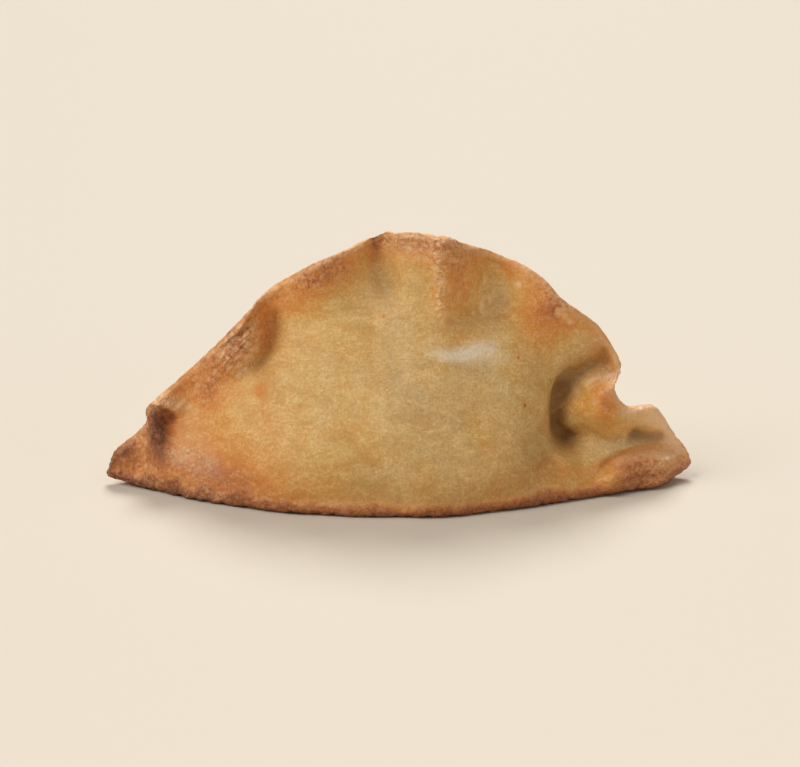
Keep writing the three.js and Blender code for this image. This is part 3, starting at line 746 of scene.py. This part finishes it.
def pastryMesh(grid):
    points = grid["points"] / mmPerMetre
    columns, rows = points.shape[:2]
    tipCentres = points[[0, -1]].mean(1)
    tipCentres[:, 0] += np.array([-1, 1]) * form["tipRound"] / mmPerMetre
    column = np.arange(columns - 1)[:, None] * rows
    row = np.arange(rows)[None, :]
    after = (row + 1) % rows
    quads = np.stack([column + row, column + rows + row, column + rows + after, column + after], -1)
    faces = quads.reshape(-1, 4).tolist()
    last = (columns - 1) * rows
    centre = columns * rows
    for here in range(rows):                      # the two tips are closed by fans
        there = (here + 1) % rows
        faces.append((here, there, centre))
        faces.append((last + there, last + here, centre + 1))
    mesh = bpy.data.meshes.new("crust")
    mesh.from_pydata(np.vstack([points.reshape(-1, 3), tipCentres]).tolist(), [], faces)
    for name in bakedNames:
        values = grid[name]
        tips = [values[0].mean(), values[-1].mean()]
        layer = mesh.attributes.new(name, "FLOAT", "POINT")
        layer.data.foreach_set("value", np.append(values.ravel(), tips).astype(np.float32))
    mesh.shade_smooth()
    print("crust mesh:", len(mesh.vertices), "vertices")
    return mesh


# Shader maths on sockets

class Wire:
    def __init__(self, tree, socket=None):
        self.tree = tree
        self.socket = socket

    def node(self, kind, settings=None, sockets=None, out=0):
        made = self.tree.nodes.new(kind)
        for name, value in (settings or {}).items():
            if name == "stops":
                self.fillRamp(made.color_ramp, value)
            else:
                setattr(made, name, value)
        for key, value in (sockets or {}).items():
            if isinstance(value, Wire):
                self.tree.links.new(value.socket, made.inputs[key])
            else:
                made.inputs[key].default_value = value
        return Wire(self.tree, made.outputs[out])

    def fillRamp(self, ramp, stops):
        while len(ramp.elements) < len(stops):
            ramp.elements.new(0.5)
        for element, (position, colour) in zip(ramp.elements, stops):
            element.position = position
            element.color = (*colour, 1)

    def math(self, operation, first, second):
        return self.node("ShaderNodeMath", {"operation": operation}, {0: first, 1: second})

    def __add__(self, other):
        return self.math("ADD", self, other)

    __radd__ = __add__

    def __sub__(self, other):
        return self.math("SUBTRACT", self, other)

    def __rsub__(self, other):
        return self.math("SUBTRACT", other, self)

    def __mul__(self, other):
        return self.math("MULTIPLY", self, other)

    __rmul__ = __mul__

    def __abs__(self):
        return self.node("ShaderNodeMath", {"operation": "ABSOLUTE"}, {0: self})

    def other(self, name):                        # another output of the same node
        return Wire(self.tree, self.socket.node.outputs[name])

    def clamped(self, low=0.0, high=1.0):         # 0 at low, 1 at high
        return self.node("ShaderNodeMapRange", {"clamp": True},
                         {"Value": self, "From Min": low, "From Max": high})


def newMaterial(name):
    material = bpy.data.materials.new(name)
    material.use_nodes = True
    return material, material.node_tree.nodes["Principled BSDF"], Wire(material.node_tree)


def colourMix(factor, first, second):             # sockets 6 and 7 are the two colours
    settings = {"data_type": "RGBA", "clamp_factor": True}
    return factor.node("ShaderNodeMix", settings, {0: factor, 6: first, 7: second}, out=2)


def vectorMath(start, operation, *values):
    return start.node("ShaderNodeVectorMath", {"operation": operation}, dict(enumerate(values)))


def connect(wire, shader, socket):
    wire.tree.links.new(wire.socket, shader.inputs[socket])


noiseMiddle = 0.5                                 # what a noise node gives on average

crustLook = {
    "ramp": [                     # pale dough to dark crust
        (0.00, (0.74, 0.52, 0.250)),
        (0.20, (0.73, 0.435, 0.140)),
        (0.36, (0.74, 0.345, 0.080)),
        (0.55, (0.71, 0.255, 0.052)),
        (0.72, (0.50, 0.150, 0.038)),
        (0.90, (0.26, 0.068, 0.020)),
        (1.00, (0.12, 0.035, 0.014)),
    ],
    "paleCrust": (0.95, 0.59, 0.31, 1),           # bubbles, granules, pale lines and painted highlights
    "shade": (0.19, 0.076, 0.028, 1),             # painted shade in the creases
    "crustGap": (0.36, 0.11, 0.03, 1),            # between crumbs
    "flour": (0.88, 0.77, 0.61, 1),
    "dryCrust": (0.78, 0.45, 0.27, 1),
    "paleFleck": (1.0, 0.72, 0.32, 1),
    "darkFleck": (0.24, 0.085, 0.01, 1),
    "stretch": (0.6, 1.0, 1.4),   # strands are drawn out along the turnover
    "strokeShift": (0.3, 0.1, 0.2),               # keeps dark strokes apart from pale ones
    "noises": {                   # scale, detail, roughness and distortion
        "mottle": (230.0, 5.0, 0.55, 0.0),
        "speckle": (950.0, 3.0, 0.7, 0.0),
        "strand": (520.0, 4.0, 0.6, 1.4),
        "wobble": (900.0, 2.0, 0.5, 0.0),
        "curls": (620.0, 1.5, 0.6, 1.0),          # thin pale lines in the crusty places
        "paleStrokes": (260.0, 3.0, 0.6, 1.2),    # thin lines in the smooth dough
        "darkStrokes": (208.0, 3.0, 0.6, 1.2),
        "fineFlecks": (1700.0, 2.0, 0.6, 0.0),
        "patchFlecks": (260.0, 4.0, 0.6, 0.6),
        "wrinkles": (420.0, 6.0, 0.65, 0.0),
        "grain": (1500.0, 3.0, 0.55, 0.0),
    },
    "mottle": 0.3,                # how much the mottling shifts the browning
    "speckle": (0.25, 0.9),       # how much speckles shift it on smooth dough, and more on crust
    "granules": 720.0,            # to the metre
    "granuleWobble": 0.0012,      # how far their outlines stray, m
    "granuleSize": (0.2, 0.4),    # least radius and spread of the radii, in shares of their spacing
    "granuleEdge": 0.3,           # softness of their edges
    "curlWidth": 0.1,
    "curlsByGranules": 0.6,       # strength of the curls among granules
    "strokeWidth": 0.03,
    "strokes": (0.34, 0.5),       # strength, and share of it for the dark ones
    "flecks": (1.35, 1.35),       # strength of fine flecks and of patches
    "darkFlecks": 0.55,           # strength of dark flecks against pale ones
    "fleckEnd": 1.2,              # flecks and pale spots fade out towards this browning
    "gaps": 3.2,                  # dark gaps between the crumbs
    "paleCurls": 0.75,
    "paleGranules": 0.9,
    "paleLinesAndHighlights": 0.65,
    "dryStreaks": (0.4, 0.8, 0.5),                # weight of the strokes, start and width of the streaks
    "flourStreaks": (1.4, 0.45),                  # weight of the speckles, and where flour is rubbed off
    "flourEdge": 0.15,            # thinner flour than this is left out
    "flourCover": 0.72,           # how well flour hides the dough
    "roughness": 0.5,
    "roughMottle": 0.2,
    "roughCrust": 0.1,            # added on crumbly crust
    "glazeShine": 0.16,           # taken off where the egg wash is
    "specular": 0.3,
    "wrinkleBump": (0.6, 0.0005),                 # strength, and depth in m
    "grainBump": (0.6, 0.00022),
    "granuleBump": (0.7, 0.0004),
    "curlRise": 0.3,              # height of the curls against the granules
}


def crustLayers(start):                           # baked values of the mesh, and noises over them
    where = start.node("ShaderNodeTexCoord", out="Object")
    drawn = vectorMath(start, "MULTIPLY", where, crustLook["stretch"])
    shifted = vectorMath(start, "ADD", drawn, crustLook["strokeShift"])

    def noise(name, vector=where, out=0):
        sockets = dict(zip(("Scale", "Detail", "Roughness", "Distortion"), crustLook["noises"][name]))
        return start.node("ShaderNodeTexNoise", {}, {"Vector": vector} | sockets, out)

    def lines(name, width, vector=where):         # thin curling lines
        return 1 - abs(noise(name, vector) - noiseMiddle).clamped(0.0, width)

    layers = {}
    for name in bakedNames:
        layers[name] = start.node("ShaderNodeAttribute", {"attribute_name": name}, out="Fac")
    for name in ("mottle", "speckle", "fineFlecks", "wrinkles", "grain"):
        layers[name] = noise(name)
    for name in ("strand", "patchFlecks"):
        layers[name] = noise(name, drawn)
    layers["curls"] = lines("curls", crustLook["curlWidth"])
    layers["curls"] *= layers["crusty"] + layers["granules"] * crustLook["curlsByGranules"]
    layers["paleStrokes"] = lines("paleStrokes", crustLook["strokeWidth"], drawn)
    layers["darkStrokes"] = lines("darkStrokes", crustLook["strokeWidth"], shifted)

    stray = (crustLook["granuleWobble"],) * 3
    uneven = vectorMath(start, "MULTIPLY_ADD", noise("wobble", out="Color"), stray, where)
    cells = start.node("ShaderNodeTexVoronoi", {}, {"Vector": uneven, "Scale": crustLook["granules"]})
    sizeDraw = start.node("ShaderNodeSeparateColor", {}, {"Color": cells.other("Color")}, out="Red")
    least, spread = crustLook["granuleSize"]
    granule = (sizeDraw * spread + least - cells).clamped(0.0, crustLook["granuleEdge"])
    layers["granule"] = granule * layers["granules"]
    return layers


def crustColour(start, layers):
    crusty, speckle, strokes = layers["crusty"], layers["speckle"], layers["paleStrokes"]
    onDough, onCrust = crustLook["speckle"]
    brown = layers["brown"] + (layers["mottle"] - noiseMiddle) * crustLook["mottle"]
    brown = brown + (speckle - noiseMiddle) * (onDough + crusty * onCrust)
    colour = start.node("ShaderNodeValToRGB", {"stops": crustLook["ramp"]}, {"Fac": brown})
    fading = crustLook["fleckEnd"] - brown

    fineStrength, patchStrength = crustLook["flecks"]
    strokeStrength, darkShare = crustLook["strokes"]
    fleck = (layers["fineFlecks"] - noiseMiddle) * fineStrength
    fleck = fleck + (layers["patchFlecks"] - noiseMiddle) * patchStrength
    fleck = fleck + (strokes - layers["darkStrokes"] * darkShare) * strokeStrength * (1 - crusty)
    fleck = fleck * fading
    colour = colourMix(fleck, colour, crustLook["paleFleck"])
    colour = colourMix(fleck * -crustLook["darkFlecks"], colour, crustLook["darkFleck"])

    # painted shade in the creases, the groove and the lower belly
    colour = colourMix(layers["shade"], colour, crustLook["shade"])
    gaps = (noiseMiddle - speckle) * crusty * crustLook["gaps"]
    colour = colourMix(gaps, colour, crustLook["crustGap"])
    pale = layers["curls"] * crustLook["paleCurls"] + layers["granule"] * crustLook["paleGranules"]
    pale = (pale + layers["pale"] * crustLook["paleLinesAndHighlights"]) * fading
    colour = colourMix(pale, colour, crustLook["paleCrust"])

    strokeShare, streakStart, streakWidth = crustLook["dryStreaks"]
    streaks = (speckle + layers["mottle"] + strokes * strokeShare - streakStart).clamped(0.0, streakWidth)
    colour = colourMix(layers["dry"] * streaks, colour, crustLook["dryCrust"])
    speckleShare, rubbedOff = crustLook["flourStreaks"]
    dusting = layers["flour"] * (speckle * speckleShare + layers["strand"] - rubbedOff)
    dusting = dusting.clamped(crustLook["flourEdge"], 1.0) * crustLook["flourCover"]
    return colourMix(dusting, colour, crustLook["flour"])


def crustBumps(start, layers):                    # wrinkles, grain over them, granules and curls on top
    heights = [
        ("wrinkleBump", layers["wrinkles"]),
        ("grainBump", layers["grain"]),
        ("granuleBump", layers["granule"] + layers["curls"] * crustLook["curlRise"]),
    ]
    below = {}
    for name, height in heights:
        strength, depth = crustLook[name]
        sockets = {"Strength": strength, "Distance": depth, "Height": height}
        bump = start.node("ShaderNodeBump", {}, sockets | below)
        below = {"Normal": bump}
    return bump


def crustMaterial():
    material, shader, start = newMaterial("bakedCrust")
    layers = crustLayers(start)
    rough = crustLook["roughness"] + (layers["mottle"] - noiseMiddle) * crustLook["roughMottle"]
    rough = rough + layers["crusty"] * crustLook["roughCrust"] - layers["glaze"] * crustLook["glazeShine"]
    connect(crustColour(start, layers), shader, "Base Color")
    connect(rough, shader, "Roughness")
    connect(crustBumps(start, layers), shader, "Normal")
    shader.inputs["Specular IOR Level"].default_value = crustLook["specular"]
    print("crust material:", len(material.node_tree.nodes), "nodes")
    return material


grid = pastryGrid()
addCrust(grid)
bake(grid)
pastry = bpy.data.objects.new("pastry", pastryMesh(grid))
bpy.context.collection.objects.link(pastry)
pastry.data.materials.append(crustMaterial())
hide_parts("empanadilla")
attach(pastry, "root")


# Floor, light and camera

studio = {
    "floorSize": 12.0,            # m
    "floorColour": (0.703, 0.628, 0.516, 1),
    "floorRoughness": 0.6,
    "floorHaze": (8.0, 2.0, 0.05),                # noise scale, detail and swing of the roughness
    "floorSpecular": 0.05,
    "skyColour": (1.0, 0.98, 0.95, 1),
    "skyStrength": 0.28,
    "suns": [                     # from (azimuth, elevation) in degrees, strength, softness in degrees
        {"from": (-63, 46), "strength": 1.55, "softness": 40},     # main light
        {"from": (55, 28), "strength": 0.24, "softness": 40},      # lifts the right side
        {"from": (178, 48), "strength": 2.3, "softness": 24},      # over the rim from behind
    ],
}


def floorMaterial():
    material, shader, start = newMaterial("paleFloor")
    scale, detail, swing = studio["floorHaze"]
    where = start.node("ShaderNodeTexCoord", out="Object")
    haze = start.node("ShaderNodeTexNoise", {}, {"Vector": where, "Scale": scale, "Detail": detail})
    connect(studio["floorRoughness"] + (haze - noiseMiddle) * swing, shader, "Roughness")
    shader.inputs["Base Color"].default_value = studio["floorColour"]
    shader.inputs["Specular IOR Level"].default_value = studio["floorSpecular"]
    return material


def buildFloor():
    half = studio["floorSize"] / 2
    corners = [(-half, -half, 0), (half, -half, 0), (half, half, 0), (-half, half, 0)]
    mesh = bpy.data.meshes.new("floor")
    mesh.from_pydata(corners, [], [(0, 1, 2, 3)])
    floor = bpy.data.objects.new("floor", mesh)
    floor.data.materials.append(floorMaterial())
    bpy.context.collection.objects.link(floor)


def buildLight():
    for number, sun in enumerate(studio["suns"]):
        light = bpy.data.lights.new(f"softLight{number}", "SUN")
        light.energy = sun["strength"]
        light.angle = math.radians(sun["softness"])
        lamp = bpy.data.objects.new(light.name, light)
        azimuth, elevation = (math.radians(angle) for angle in sun["from"])
        level = math.cos(elevation)
        source = Vector((math.sin(azimuth) * level, -math.cos(azimuth) * level, math.sin(elevation)))
        lamp.rotation_euler = source.to_track_quat("Z", "Y").to_euler()
        bpy.context.collection.objects.link(lamp)
    world = bpy.data.worlds.new("paleRoom")
    world.use_nodes = True
    sky = world.node_tree.nodes["Background"]
    sky.inputs["Color"].default_value = studio["skyColour"]
    sky.inputs["Strength"].default_value = studio["skyStrength"]
    bpy.context.scene.world = world
    bpy.context.scene.view_settings.view_transform = "Standard"


viewpoint = {
    "elevation": 15.0,            # degrees above the floor
    "distance": 0.476,            # m
    "target": (-0.0002, 0.0, 0.0224),             # m
    "lens": 100.0,                # mm
    "clipStart": 0.01,
}


def buildCamera():
    lens = bpy.data.cameras.new("viewpoint")
    lens.lens = viewpoint["lens"]
    lens.clip_start = viewpoint["clipStart"]
    camera = bpy.data.objects.new("viewpoint", lens)
    rise = math.radians(viewpoint["elevation"])
    back = Vector((0, -math.cos(rise), math.sin(rise))) * viewpoint["distance"]
    camera.location = Vector(viewpoint["target"]) + back
    camera.rotation_euler = (math.pi / 2 - rise, 0, 0)
    bpy.context.collection.objects.link(camera)
    bpy.context.scene.camera = camera


buildFloor()
buildLight()
buildCamera()
print("studio and camera ready")
